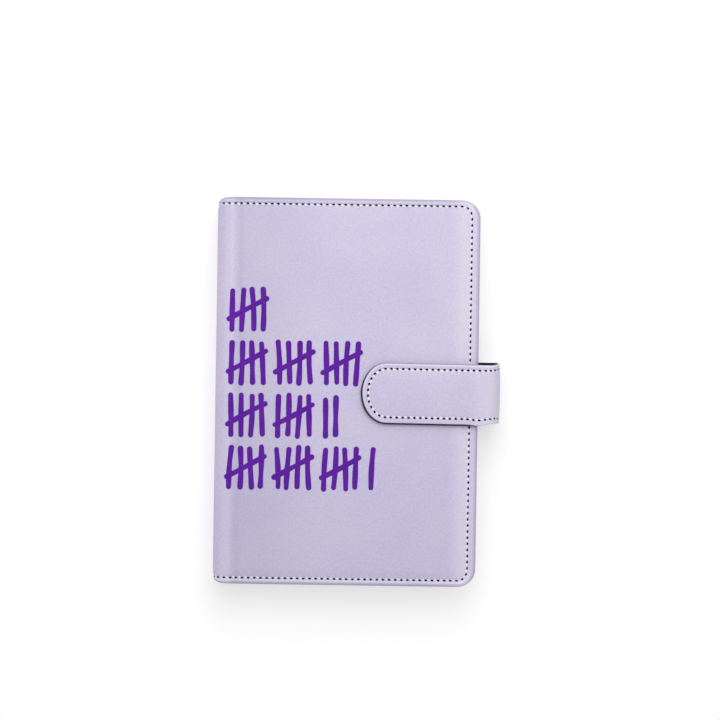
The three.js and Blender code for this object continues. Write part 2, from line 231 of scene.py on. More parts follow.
# %% Grain: the fine pebbles and pores of pressed faux leather
grain, given, made = new_group(
    "leather_grain",
    [("Vector", VECTOR, None), ("Pebbles", FLOAT, 1500.0), ("Pores", FLOAT, 4200.0)],
    [("Height", FLOAT)],
)
pebbles = add_node(grain, "ShaderNodeTexVoronoi",
                   {"Vector": given["Vector"], "Scale": given["Pebbles"]}, feature="SMOOTH_F1")
pores = add_node(grain, "ShaderNodeTexNoise",
                 {"Vector": given["Vector"], "Scale": given["Pores"], "Detail": 3.0})
sunk = maths(grain, "MULTIPLY", pebbles.outputs["Distance"], 0.6)
grain.links.new(maths(grain, "SUBTRACT", pores.outputs["Fac"], sunk), made["Height"])
print("grain group:", len(grain.nodes), "nodes")

# %% Blotches: slow changes of shade over a surface
blotches, given, made = new_group(
    "soft_blotches",
    [("Vector", VECTOR, None), ("Colour", COLOUR, None), ("Second", COLOUR, None),
     ("Scale", FLOAT, 40.0), ("Amount", FLOAT, 0.5)],
    [("Colour", COLOUR), ("Mask", FLOAT)],
)
wide = add_node(blotches, "ShaderNodeTexNoise",
                {"Vector": given["Vector"], "Scale": given["Scale"], "Detail": 4.0,
                 "Roughness": 0.55})
mask = map_range(blotches, wide.outputs["Fac"], 0.35, 0.68)
weight = maths(blotches, "MULTIPLY", mask, given["Amount"])
mixed = mix_colours(blotches, weight, given["Colour"], given["Second"])
blotches.links.new(mixed, made["Colour"])
blotches.links.new(mask, made["Mask"])

# %% Flecks: fine uneven dye, and the painted highlight and shade that a piece stores on its points
flecks_and_painted_light, given, made = new_group(
    "dye_flecks",
    [("Vector", VECTOR, None), ("Colour", COLOUR, None), ("Pale Colour", COLOUR, None),
     ("Dark Colour", COLOUR, None), ("Scale", FLOAT, 1500.0), ("Amount", FLOAT, 0.06)],
    [("Colour", COLOUR)],
)
fine = add_node(flecks_and_painted_light, "ShaderNodeTexNoise",
                {"Vector": given["Vector"], "Scale": given["Scale"], "Detail": 5.0,
                 "Roughness": 0.62})
level = map_range(flecks_and_painted_light, fine.outputs["Fac"], 0.36, 0.64,
                  maths(flecks_and_painted_light, "SUBTRACT", 1.0, given["Amount"]),
                  maths(flecks_and_painted_light, "ADD", 1.0, given["Amount"]))
dyed = mix_colours(flecks_and_painted_light, 1.0, given["Colour"], level, "MULTIPLY")
# The stored value is painted light: above zero it mixes in the painted highlight colour, below zero
# the painted shade colour.
stored = add_node(flecks_and_painted_light, "ShaderNodeAttribute", attribute_name="pale").outputs["Fac"]
highlight_share = maths(flecks_and_painted_light, "MAXIMUM", stored, 0.0)
shaded = maths(flecks_and_painted_light, "MAXIMUM", maths(flecks_and_painted_light, "MULTIPLY", stored, -1.0), 0.0)
paler = mix_colours(flecks_and_painted_light, highlight_share, dyed, given["Pale Colour"])
darker = mix_colours(flecks_and_painted_light, shaded, paler, given["Dark Colour"])
flecks_and_painted_light.links.new(darker, made["Colour"])

# %% [markdown]
# ## Materials
# Every finish starts the same way: object coordinates, blotches for the colour and a bump for
# the small relief. The numbers make the difference between skin, lining, thread and paper.

# %% The common start of a material
def srgb(red, green, blue):
    """A colour given as the eye reads it, turned into the linear light that shaders use."""
    def channel(value):
        value /= 255
        return value / 12.92 if value <= 0.04045 else ((value + 0.055) / 1.055) ** 2.4
    return (channel(red), channel(green), channel(blue), 1.0)


def new_material(name, colour, second, blotch_scale, blotch_amount):
    material = bpy.data.materials.new(name)
    material.use_nodes = True
    tree = material.node_tree
    shader = tree.nodes["Principled BSDF"]
    place = add_node(tree, "ShaderNodeTexCoord").outputs["Object"]
    spots = add_node(tree, "ShaderNodeGroup",
                     {"Vector": place, "Colour": colour, "Second": second,
                      "Scale": blotch_scale, "Amount": blotch_amount}, node_tree=blotches)
    tree.links.new(spots.outputs["Colour"], shader.inputs["Base Color"])
    return material, tree, shader, place, spots


def add_bump(tree, shader, height, strength, distance):
    bump = add_node(tree, "ShaderNodeBump",
                    {"Height": height, "Strength": strength, "Distance": distance})
    tree.links.new(bump.outputs["Normal"], shader.inputs["Normal"])


def vary_roughness(tree, shader, spots, low, high):
    """Rougher where the blotches lie, so that a highlight isn't even."""
    varied = map_range(tree, spots.outputs["Mask"], 0.0, 1.0, low, high)
    tree.links.new(varied, shader.inputs["Roughness"])


def stretched_noise(tree, place, stretch, scale, detail):
    """Noise drawn out along an axis, like polishing marks or the layers of a paper edge."""
    drawn = add_node(tree, "ShaderNodeMapping", {"Vector": place, "Scale": stretch})
    return add_node(tree, "ShaderNodeTexNoise",
                    {"Vector": drawn.outputs["Vector"], "Scale": scale,
                     "Detail": detail}).outputs["Fac"]

# %% Leather, lining and the strap's dark backing, partly painted shadow
# The colours of the painted highlights and of the painted shade that the stored values mix in.
PAINTED_HIGHLIGHT = srgb(241, 237, 252)
SHADED = srgb(128, 120, 146)
FLECK_SCALE = 900.0
GRAIN_DEPTH = 0.00022


def leather(name, colour, second, roughness, pebble_scale, strength, coat=0.0, fleck=0.06):
    material, tree, shader, place, spots = new_material(name, colour, second, 28.0, 0.75)
    dye = add_node(tree, "ShaderNodeGroup",
                   {"Vector": place, "Colour": spots.outputs["Colour"],
                    "Pale Colour": PAINTED_HIGHLIGHT, "Dark Colour": SHADED,
                    "Scale": FLECK_SCALE, "Amount": fleck}, node_tree=flecks_and_painted_light)
    tree.links.new(dye.outputs["Colour"], shader.inputs["Base Color"])
    relief = add_node(tree, "ShaderNodeGroup",
                      {"Vector": place, "Pebbles": pebble_scale, "Pores": pebble_scale * 2.6},
                      node_tree=grain)
    add_bump(tree, shader, relief.outputs["Height"], strength, GRAIN_DEPTH)
    vary_roughness(tree, shader, spots, roughness - 0.04, roughness + 0.06)
    shader.inputs["Specular IOR Level"].default_value = 0.42
    shader.inputs["Coat Weight"].default_value = coat
    shader.inputs["Coat Roughness"].default_value = 0.32
    return material


skin_finish = leather("lavender_leather", srgb(205, 196, 223), srgb(196, 190, 224), 0.46,
                      1300.0, 0.55, coat=0.35, fleck=0.065)
lining_finish = leather("lining_leather", srgb(190, 180, 210), srgb(183, 174, 206), 0.62,
                        1900.0, 0.22)
# The backing is a real layer; its near-black, where it shows beside the strap's face, is painted
# shadow of the strap.
backing_and_shadow_finish = leather("dark_backing", srgb(36, 27, 60), srgb(27, 21, 46), 0.75, 2300.0, 0.35)

# %% Thread, needle holes in painted shade, print, foam and board
def plain(name, colour, second, roughness, scale, strength, specular=0.5):
    """A finish with fine noise for its relief."""
    material, tree, shader, place, _ = new_material(name, colour, second, 90.0, 0.8)
    noise = add_node(tree, "ShaderNodeTexNoise", {"Vector": place, "Scale": scale, "Detail": 3.0})
    add_bump(tree, shader, noise.outputs["Fac"], strength, 0.0001)
    shader.inputs["Roughness"].default_value = roughness
    shader.inputs["Specular IOR Level"].default_value = specular
    return material


thread_finish = plain("pale_thread", srgb(252, 250, 254), srgb(243, 239, 250), 0.6, 5000.0, 0.5)
# Needle holes are near-black forms on the surface: painted shade for the holes.
hole_shade_finish = plain("needle_hole", srgb(24, 16, 34), srgb(17, 12, 24), 0.9, 5000.0, 0.2,
                    specular=0.1)
print_finish = plain("purple_print", srgb(98, 26, 162), srgb(88, 20, 152), 0.62, 1500.0, 0.5,
                     specular=0.15)
foam_finish = plain("foam", srgb(232, 230, 222), srgb(222, 219, 210), 0.9, 1800.0, 0.5)
board_finish = plain("grey_board", srgb(168, 162, 152), srgb(150, 145, 137), 0.9, 900.0, 0.4)

# %% Metal with fine polishing marks, and paper with its edges in thin layers
def metal(name, colour, second, roughness):
    material, tree, shader, place, spots = new_material(name, colour, second, 60.0, 0.6)
    shader.inputs["Metallic"].default_value = 1.0
    add_bump(tree, shader, stretched_noise(tree, place, (1.0, 0.04, 1.0), 6000.0, 2.0), 0.08,
             0.00005)
    vary_roughness(tree, shader, spots, roughness, roughness + 0.1)
    return material


def paper(name, colour, second):
    material, tree, shader, place, _ = new_material(name, colour, second, 60.0, 0.35)
    add_bump(tree, shader, stretched_noise(tree, place, (0.2, 0.2, 12.0), 700.0, 3.0), 0.3, 0.0001)
    shader.inputs["Roughness"].default_value = 0.85
    return material


nickel_finish = metal("nickel", srgb(222, 222, 226), srgb(206, 207, 212), 0.16)
paper_finish = paper("envelope_paper", srgb(248, 246, 241), srgb(240, 236, 229))
print("materials:", len(bpy.data.materials))

# %% [markdown]
# ## The cover's skin
# The real skin is one sheet of faux leather, wrapped over foam and board and turned in at the
# edges. Its edge has the same section all round: turned in below, rolled over the rim, then
# pressed down by the seam, and full again where the foam starts. So the sheet is built from
# that one section. Loops follow the outline at each inset, and a plain grid fills the middle.
# This gives even faces that run along the seam, which a subdivided block doesn't.

# %% The section of the edge
RIDGE_RISE = 0.12
# Painted shade on the rolled rim, in the seam's valley and on the turn-in below the rim.
RIM_SHADE, GROOVE_SHADE, BELOW_SHADE = 0.32, 0.25, 0.2
EDGE_BELOW = [(2.4, -2.3), (1.2, -2.42), (0.55, -2.38), (0.15, -2.15), (0.0, -1.85)]
EDGE_INSETS = [0.0, 0.05, 0.15, 0.3, 0.5, 0.75, 1.05, 1.35, 1.6, 1.8, 1.95, 2.1, 2.3, 2.6, 2.85,
               3.05, 3.2, 3.35, 3.6, 3.85, 4.05, 4.2, 4.35, 4.6, 4.9, 5.3, 5.8, 6.4, 7.1, 8.0,
               CORNER]


def rolled(inset, width, drop):
    """How far a rounded rim lies below its face, by the inset from the edge."""
    share = max(0.0, width - inset) / width
    return drop * (1 - math.sqrt(max(0.0, 1 - share * share)))


def surface_height(inset, seam):
    """How high the skin lies over the cover's flat face, by its inset from the edge."""
    rise = RIDGE_RISE * bell(inset, RIDGE, 0.35) - rolled(inset, ROLL, ROLL_DROP)
    rise -= PADDING * (1 - smoothstep(0.0, PADDING_REACH, inset - seam))
    return rise - SEAM_DEPTH * bell(inset, seam, GROOVE)


def painted_edge_light(inset, seam, ridge):
    """A painted highlight on the ridge, and painted shade on the rolled rim and in the seam's
    valley.
    """
    value = ridge * bell(inset, RIDGE, 0.5)
    value -= RIM_SHADE * (1 - smoothstep(0.2, 1.5, inset))
    return value - GROOVE_SHADE * bell(inset, seam, GROOVE)


def edge_section(seam, ridge):
    """The points of the section: inset, height and painted light, from below the rim inwards."""
    below = [(inset, height, -BELOW_SHADE) for inset, height in EDGE_BELOW]
    above = [(inset, surface_height(inset, seam), painted_edge_light(inset, seam, ridge))
             for inset in EDGE_INSETS]
    return below + above


print("edge section:", len(edge_section(SEAM_SIDE, 0)), "points")

# %% The path across the cover, the fold and the spine
FACES = {"front": (TOP_Z, 1.0), "back": (0.0, -1.0)}
LOWER_FOLD = 4.0
FOLD_TURNS = 10
FINE_STEP = 0.5
FINE_END = HINGE_LINE + 3.0


def quarter_turn(turns):
    """Angles from 0 to a right angle."""
    return [math.pi / 2 * i / turns for i in range(turns + 1)]


def cover_path(side):
    """Points and outward directions in X and Z, from the lower fold up the spine and across."""
    level, up = FACES[side]
    start = FOLD_X + (FOLD_REACH if side == "front" else LOWER_FOLD)
    across = steps(start, FINE_END, FINE_STEP) + steps(FINE_END, FORE_X - CORNER, GRID)[1:]
    flat = [(x, level, 0.0, up) for x in across]
    if side == "back":
        return flat
    path = [(FOLD_X + LOWER_FOLD - LOWER_FOLD * math.sin(a), LOWER_FOLD - LOWER_FOLD * math.cos(a),
             -math.sin(a), -math.cos(a)) for a in quarter_turn(FOLD_TURNS)]
    path += [(FOLD_X, z, -1.0, 0.0) for z in steps(LOWER_FOLD, TOP_Z - FOLD_DROP, 1.5)[1:-1]]
    path += [(FOLD_X + FOLD_REACH * (1 - math.cos(a)), TOP_Z - FOLD_DROP * (1 - math.sin(a)),
              -math.cos(a), math.sin(a)) for a in quarter_turn(FOLD_TURNS)]
    return path + flat[1:]


print("path across the front:", len(cover_path("front")), "points")

# %% Where the skin swells and sinks, and where light and shade are painted on it
SWELL, SINK, SINK_WIDTH = 0.2, 0.3, 1.6
FORE_SINK, FOAM_END = 0.4, 16.0
# Strengths of the painted highlight and the painted shade across the cover.
FOLD_LIGHT, HINGE_SHADE, BOARD_SHADE, FORE_LIGHT = 0.13, 0.05, 0.13, 0.45
PINCH, PINCH_REACH, PINCH_INSET = 1.3, 2.2, 3.9
# How strong the painted highlight on the ridge is at the fore edge, the head and the tail.
FORE_RIDGE_HIGHLIGHT, HEAD_RIDGE_HIGHLIGHT, TAIL_RIDGE_HIGHLIGHT = 0.22, 0.15, 0.5


def hinge_dip(x, height):
    """The front skin swells beside the fold, and both sink along the line where they bend."""
    front = 1.0 if abs(height - TOP_Z) < 0.001 else 0.0
    flat = 1.0 if abs(height) < 0.001 else front
    across = x - FOLD_X
    swell = SWELL * front * smoothstep(FOLD_REACH - 0.5, FOLD_REACH + 1.5, across)
    swell *= 1 - smoothstep(FOLD_REACH + 1.5, HINGE_LINE - FOLD_X, across)
    return flat * (swell - SINK * bell(x, HINGE_LINE, SINK_WIDTH))


def fore_sink(x):
    """The foam ends before the fore edge, so the cover slopes down towards it."""
    return -FORE_SINK * smoothstep(FORE_X - FOAM_END, FORE_X - SEAM_FORE, x)


def painted_light_across(x):
    """Painted highlight beside the fold and along the fore edge, painted shade where the skin bends
    and over the part of the cover near the fold.
    """
    across = x - FOLD_X
    value = FOLD_LIGHT * bell(across, 6.3, 2.6) - HINGE_SHADE * bell(x, HINGE_LINE, SINK_WIDTH)
    value -= BOARD_SHADE * smoothstep(7.5, 10.5, across) * (1 - smoothstep(18.0, 55.0, across))
    fore = smoothstep(FORE_X - 15.0, FORE_X - SEAM_FORE - 1.0, x)
    return value + FORE_LIGHT * fore * (1 - smoothstep(FORE_X - SEAM_FORE, FORE_X - RIDGE, x))


def edge_y(x, inset):
    """The head and tail edges draw in near the fold, but the seam stays straight."""
    across = x - FOLD_X
    ease = PINCH * math.exp(-across / PINCH_REACH) * (1 - smoothstep(9.0, 16.0, across))
    return HALF_Y - inset - ease * max(0.0, 1 - inset / PINCH_INSET)


def corner_seam(angle):
    """The seam's inset on a corner, from the fore edge at 0 to the head or tail edge."""
    return SEAM_FORE + (SEAM_SIDE - SEAM_FORE) * smoothstep(0.0, math.pi / 2, angle)


def corner_ridge_highlight(angle, sign):
    """The ridge's painted highlight on a corner: the fore edge's at 0, then the head's or the
    tail's.
    """
    end = HEAD_RIDGE_HIGHLIGHT if sign > 0 else TAIL_RIDGE_HIGHLIGHT
    return FORE_RIDGE_HIGHLIGHT + (end - FORE_RIDGE_HIGHLIGHT) * smoothstep(0.4, math.pi / 2, angle)

# %% Build a cover skin
CORNER_TURNS = 14


def on_face(side, x, y, height):
    """A point over the flat face of a cover."""
    level, up = FACES[side]
    return (x, y, level + up * (height + fore_sink(x)))


def on_corner(side, sign, angle, inset, height):
    """A point on a fore corner, at an angle from the fore edge to the head or the tail."""
    radius = CORNER - inset
    return on_face(side, FORE_X - CORNER + radius * math.cos(angle),
                   sign * (HALF_Y - CORNER + radius * math.sin(angle)), height)


def cover_skin(name, side):
    path = cover_path(side)
    middle = steps(CORNER - HALF_Y, HALF_Y - CORNER, GRID)
    tail = edge_section(SEAM_SIDE, corner_ridge_highlight(math.pi / 2, -1))
    head = edge_section(SEAM_SIDE, corner_ridge_highlight(math.pi / 2, 1))
    rows = ([(-1, *entry) for entry in tail] + [(0, y, 0.0, 0.0) for y in middle[1:-1]]
            + [(1, *entry) for entry in reversed(head)])
    # Each point stores its painted light: the edge section's painted highlight and shade, plus the
    # painted light across the cover.
    points, pale = [], []
    for x, z, nx, nz in path:
        for sign, value, height, shade in rows:
            y = sign * edge_y(x, value) if sign else value
            lift = height + hinge_dip(x, z) + fore_sink(x)
            points.append((x + nx * lift, y, z + nz * lift))
            pale.append(shade + painted_light_across(x))
    faces = grid_faces(len(path), len(rows))
    start = len(points)
    fore = edge_section(SEAM_FORE, corner_ridge_highlight(0.0, 1))[::-1]
    for y in middle:
        for inset, height, shade in fore:
            points.append(on_face(side, FORE_X - inset, y, height))
            pale.append(shade + painted_light_across(FORE_X - inset))
    faces += grid_faces(len(middle), len(fore), start)
    for sign in (-1, 1):
        start = len(points)
        for angle in quarter_turn(CORNER_TURNS):
            section = edge_section(corner_seam(angle), corner_ridge_highlight(angle, sign))
            for inset, height, shade in section[::-1]:
                points.append(on_corner(side, sign, angle, inset, height))
                pale.append(shade + painted_light_across(points[-1][X]))
        faces += grid_faces(CORNER_TURNS + 1, len(fore), start, flip=sign < 0)
    return new_piece(name, points, faces, pale=pale)

# %% Give the skins their thickness
def thicken(piece, thickness):
    """Gives a sheet its thickness, inwards, and keeps the outer face where it is."""
    add_modifier(piece, "SOLIDIFY", thickness=thickness * MM, offset=-1, use_even_offset=False)
    return freeze(piece)


def facing(piece, direction):
    """Turns a sheet over if most of it faces against a direction."""
    total = sum((face.normal * face.area for face in piece.data.polygons), Vector())
    if total.dot(Vector(direction)) < 0:
        piece.data.flip_normals()
    return piece


front_wrap = thicken(facing(cover_skin("front_wrap", "front"), (0, 0, 1)), LEATHER)
back_wrap = thicken(facing(cover_skin("back_wrap", "back"), (0, 0, -1)), LEATHER)
for wrap in (front_wrap, back_wrap):
    wrap.data.materials.append(skin_finish)
    print(wrap.name, triangles(wrap), "triangles")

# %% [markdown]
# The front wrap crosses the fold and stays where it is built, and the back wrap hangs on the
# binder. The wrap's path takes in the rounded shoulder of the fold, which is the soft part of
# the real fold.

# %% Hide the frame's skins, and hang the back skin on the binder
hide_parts("front_skin", "front_foam", "spine_skin")
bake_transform(front_wrap)
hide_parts("back_skin", "back_foam")
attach(back_wrap, "binder")

# %% [markdown]
# ## The lining
# Inside, one sheet lies under the front cover and another covers the spine's board and turns
# over its top edge. Each is a ruled sheet along a simple path, thickened inwards.

# %% Lining sheets
LINING_INSET = 1.6
LINING = 0.4
LINING_START = FOLD_X + 3.8
LINING_BEND = 2.2


def lining_sheet(name, path, side):
    """Rows across the sheet end at the outline, rounded at the fore corners."""
    radius = CORNER - LINING_INSET
    shares = steps(-1.0, 1.0, 0.06)
    points = []
    for x, z in path:
        past = min(max(0.0, x - (FORE_X - CORNER)), radius)
        half = edge_y(x, LINING_INSET) - radius + math.sqrt(radius ** 2 - past ** 2)
        for share in shares:
            points.append((x, share * half, z))
    sheet = new_piece(name, points, grid_faces(len(path), len(shares)), pale=[0.0] * len(points))
    thicken(facing(sheet, side), LINING)
    sheet.data.materials.append(lining_finish)
    return sheet


def arc(centre_x, centre_z, radius, first, last, count=8):
    """Points of an arc in X and Z, between two angles in degrees."""
    angles = [math.radians(first + (last - first) * i / count) for i in range(count + 1)]
    return [(centre_x + radius * math.cos(a), centre_z + radius * math.sin(a)) for a in angles]


lining_low = span("front_lining", Z)[0]
front_path = [(x, lining_low) for x in steps(FORE_X - CORNER, FORE_X - LINING_INSET, 0.6)[::-1]]
front_path += [(x, lining_low) for x in steps(LINING_START, FORE_X - CORNER, 6.0)[-2::-1]]
front_path += arc(LINING_START, lining_low + 1.0, 1.0, 270, 180)[1:]
front_lining = lining_sheet("front_lining_sheet", front_path, (0, 0, -1))
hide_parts("front_lining")
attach(front_lining, "front_cover")

spine_x = span("spine_lining", X)[1]
spine_top = span("spine_board", Z)[1]
spine_path = arc(spine_x + LINING_BEND, COVER_THICK + 0.05 + LINING_BEND, LINING_BEND, 270, 180)
spine_path += [(spine_x, z) for z in steps(COVER_THICK + LINING_BEND, spine_top - 0.3, 1.5)[1:]]
spine_path += arc(spine_x - 0.6, spine_top - 0.2, 0.6, 0, 90, 5)[1:]
spine_path.append((FOLD_X + 0.8, spine_top + 0.4))
spine_lining = lining_sheet("spine_lining_sheet", spine_path, (1, 0, 0))
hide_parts("spine_lining")
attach(spine_lining, "binder")
print("linings", triangles(front_lining) + triangles(spine_lining), "triangles")

# %% [markdown]
# ## The seams
# A seam is a row of slanted stitches with a needle hole between them. Each hole is a near-black
# form on the surface, painted shade for the hole. One geometry tree makes both: it walks along a
# line at the stitch pitch, puts a small form at each step, and turns it to follow the line and the
# surface. The surface's direction is stored on the line as an attribute, so the same tree sews a
# flat cover, the fold and the bend of the strap. The holes run on a line that starts half a pitch
# later, so each one lies between two stitches.

# %% The stitch tree
def stitch_tree():
    tree, start, end = new_group(
        "stitches",
        [("Geometry", GEOMETRY, None), ("Pitch", FLOAT, 0.003), ("Length", FLOAT, 0.002),
         ("Width", FLOAT, 0.0008), ("Height", FLOAT, 0.0003), ("Slant", FLOAT, 0.4),
         ("Across", FLOAT, 0.0), ("Material", "NodeSocketMaterial", None)],
        [("Geometry", GEOMETRY)], "GeometryNodeTree")
    line = add_node(tree, "GeometryNodeMeshToCurve", {"Mesh": start["Geometry"]})
    walk = add_node(tree, "GeometryNodeResampleCurve",
                    {"Curve": line.outputs["Curve"], "Length": start["Pitch"]}, mode="LENGTH")
    tangent = add_node(tree, "GeometryNodeInputTangent")
    surface = add_node(tree, "GeometryNodeInputNamedAttribute", {"Name": "surface_up"},
                       data_type="FLOAT_VECTOR")
    follow = add_node(tree, "FunctionNodeAlignRotationToVector",
                      {"Vector": tangent.outputs["Tangent"]}, axis="X")
    upright = add_node(tree, "FunctionNodeAlignRotationToVector",
                       {"Rotation": follow.outputs["Rotation"],
                        "Vector": surface.outputs["Attribute"]}, axis="Z", pivot_axis="X")
    form = add_node(tree, "GeometryNodeMeshUVSphere", {"Segments": 8, "Rings": 6, "Radius": 0.5})
    size = add_node(tree, "ShaderNodeCombineXYZ",
                    {"X": start["Length"], "Y": start["Width"], "Z": start["Height"]})
    turn = add_node(tree, "ShaderNodeCombineXYZ", {"Z": start["Slant"]})
    shift = add_node(tree, "ShaderNodeCombineXYZ", {"Y": start["Across"]})
    shaped = add_node(tree, "GeometryNodeTransform", {"Geometry": form.outputs["Mesh"],
                                                      "Scale": size.outputs["Vector"]})
    turned = add_node(tree, "GeometryNodeTransform", {"Geometry": shaped.outputs["Geometry"],
                                                      "Rotation": turn.outputs["Vector"],
                                                      "Translation": shift.outputs["Vector"]})
    placed = add_node(tree, "GeometryNodeInstanceOnPoints",
                      {"Points": walk.outputs["Curve"],
                       "Instance": turned.outputs["Geometry"],
                       "Rotation": upright.outputs["Rotation"]})
    real = add_node(tree, "GeometryNodeRealizeInstances", {"Geometry": placed.outputs["Instances"]})
    dressed = add_node(tree, "GeometryNodeSetMaterial",
                       {"Geometry": real.outputs["Geometry"], "Material": start["Material"]})
    smooth = add_node(tree, "GeometryNodeSetShadeSmooth", {0: dressed.outputs["Geometry"]})
    tree.links.new(smooth.outputs[0], end["Geometry"])
    return tree


def run_tree(piece, tree, values):
    """Runs a geometry tree with its inputs set, and keeps the result as a plain mesh."""
    modifier = add_modifier(piece, "NODES", node_group=tree)
    keys = {item.name: item.identifier for item in tree.interface.items_tree
            if item.in_out == "INPUT"}
    for label, value in values.items():
        modifier[keys[label]] = value
    return freeze(piece)


STITCHES = stitch_tree()

# %% Sew along a line
def sew(name, line, finish, **sizes):
    """Stitches along a list of (point, surface direction), in millimetres, as a plain mesh."""
    mesh = bpy.data.meshes.new(name)
    points = [tuple(v * MM for v in point) for point, _ in line]
    mesh.from_pydata(points, [(i, i + 1) for i in range(len(points) - 1)], [])
    up = mesh.attributes.new("surface_up", "FLOAT_VECTOR", "POINT")
    for item, (_, direction) in zip(up.data, line):
        item.vector = direction
    piece = add_object(name, mesh)
    values = {label: size if label == "Slant" else size * MM for label, size in sizes.items()}
    run_tree(piece, STITCHES, {**values, "Material": finish})
    left_over = piece.data.attributes.get("surface_up")
    if left_over:
        piece.data.attributes.remove(left_over)
    return piece

# %% Where the seam runs on a cover
def cover_seam(side):
    """Round the tail, fore edge and head of a cover, at the seam's inset."""
    depth = surface_height(SEAM_SIDE, SEAM_SIDE)

    def along_path(sign):
        line = []
        for x, z, nx, nz in cover_path(side):
            lift = depth + hinge_dip(x, z) + fore_sink(x)
            line.append(((x + nx * lift, sign * edge_y(x, SEAM_SIDE), z + nz * lift), (nx, 0, nz)))
        return line

    def round_corner(sign):
        line = []
        for angle in quarter_turn(12):
            inset = corner_seam(angle)
            point = on_corner(side, sign, angle, inset, surface_height(inset, inset))
            line.append((point, (0, 0, FACES[side][1])))
        return line

    return along_path(-1) + round_corner(-1)[::-1] + round_corner(1) + along_path(1)[::-1]


def trimmed(line, cut):
    """The line without a length at either end, in millimetres."""
    for _ in range(2):
        left = cut
        while math.dist(line[0][0], line[1][0]) < left:
            left -= math.dist(line[0][0], line[1][0])
            line = line[1:]
        (first, up), (second, _) = line[0], line[1]
        share = left / math.dist(first, second)
        start = tuple(a + (b - a) * share for a, b in zip(first, second))
        line = ([(start, up)] + line[1:])[::-1]
    return line


THREAD_SHIFT, HOLE_SHIFT = 0.42, -0.2
THREAD = {"Length": 2.0, "Width": 1.25, "Height": 0.62, "Slant": -0.5}
HOLE = {"Length": 1.9, "Width": 1.35, "Height": 0.5, "Slant": -0.8}
INNER_THREAD = {"Length": 2.2, "Width": 0.8, "Height": 0.36, "Slant": -0.25}


def seam_pair(name, line, pitch, inwards):
    """The thread and the needle holes of one seam. The thread leans inwards."""
    length = sum(math.dist(a[0], b[0]) for a, b in zip(line, line[1:]))
    pitch = length / math.floor(length / pitch) * 0.9999
    thread = sew(f"{name}_thread", line, thread_finish, Pitch=pitch,
                 Across=THREAD_SHIFT * inwards, **THREAD)
    holes = sew(f"{name}_holes", trimmed(line, pitch / 2), hole_shade_finish, Pitch=pitch,
                Across=HOLE_SHIFT * inwards, **HOLE)
    print(name, triangles(thread) + triangles(holes), "triangles")
    return thread, holes


for piece in seam_pair("front_seam", cover_seam("front"), SEAM_PITCH, 1):
    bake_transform(piece)
for piece in seam_pair("back_seam", cover_seam("back"), SEAM_PITCH, -1):
    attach(piece, "binder")

# %% The same seam on the inside
def inner_seam(side, up):
    """The seam comes out on the lining, and on the slip pocket that it holds."""
    face = 0 if up < 0 else 1
    pocket_x = span(f"{side}_pocket", X)[0]
    line = []
    for (x, y, z), _ in cover_seam(side):
        if x > FOLD_X + 7.0 and abs(z - FACES[side][0]) < 2.0:
            node = f"{side}_pocket" if x > pocket_x else f"{side}_lining"
            line.append(((x, y, span(node, Z)[face]), (0, 0, up)))
    return line


for side, up, body in (("front", -1, "front_cover"), ("back", 1, "binder")):
    inner = sew(f"{side}_inner_thread", inner_seam(side, up), thread_finish, Pitch=SEAM_PITCH,
                Across=0.0, **INNER_THREAD)
    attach(inner, body)
    print(inner.name, triangles(inner), "triangles")

# %% [markdown]
# ## The strap
# The strap is a leather face sewn to a dark backing. Where the backing shows beside the face,
# at the tail and the tip, its near-black colour is painted shadow of the strap. It is first laid
# out flat, with its round tip, as half sections that run from the middle to the edge. Then each
# point is carried along the strap's real path: flat on the cover, round the fore edge and down
# to the back cover.

# %% The strap's path
STRAP_TIP = span("strap_flap", X)[0]
STRAP_OUT = span("strap_side", X)[1]
STRAP_TOP = span("strap_flap", Z)[1]
STRAP_HALF = (span("strap_flap", Y)[1] - span("strap_flap", Y)[0]) / 2
STRAP_Y = sum(span("strap_flap", Y)) / 2
STRAP_THICK = 1.9
STRAP_BACKING = 0.7
TIP_DEPTH = 12.6             # where the round tip starts
DRIFT, DRIFT_RUN, DRIFT_SKEW = 1.2, 12, 9
LEAN, LEAN_FROM = 0.007, 14
BEND = 9.0
LOWER_BEND = 8.0
BEND_X = STRAP_OUT - STRAP_THICK - BEND
BEND_Z = STRAP_TOP - STRAP_THICK - BEND
LOWER_X = STRAP_OUT - STRAP_THICK - LOWER_BEND
LOWER_Z = span("strap_side", Z)[0] + STRAP_THICK + LOWER_BEND
MID = STRAP_THICK / 2
FLAT_RUN = BEND_X - STRAP_TIP
BEND_RUN = (BEND + MID) * math.pi / 2
SIDE_RUN = BEND_Z - LOWER_Z
LOWER_RUN = (LOWER_BEND + MID) * math.pi / 2
STRAP_RUN = FLAT_RUN + BEND_RUN + SIDE_RUN + LOWER_RUN + 0.4


def strap_frame(run):
    """The point on the strap's inner face and the outward direction, after a run from the tip."""
    if run < FLAT_RUN:
        return (STRAP_TIP + run, BEND_Z + BEND), (0.0, 1.0)
    run -= FLAT_RUN
    if run < BEND_RUN:
        a = math.pi / 2 - run / (BEND + MID)
        out = (math.cos(a), math.sin(a))
        return (BEND_X + BEND * out[0], BEND_Z + BEND * out[1]), out
    run -= BEND_RUN
    if run < SIDE_RUN:
        return (BEND_X + BEND, BEND_Z - run), (1.0, 0.0)
    run -= SIDE_RUN
    a = -min(run, LOWER_RUN) / (LOWER_BEND + MID)
    out = (math.cos(a), math.sin(a))
    back = max(0.0, run - LOWER_RUN)
    return (LOWER_X + LOWER_BEND * out[0] - back, LOWER_Z + LOWER_BEND * out[1]), out


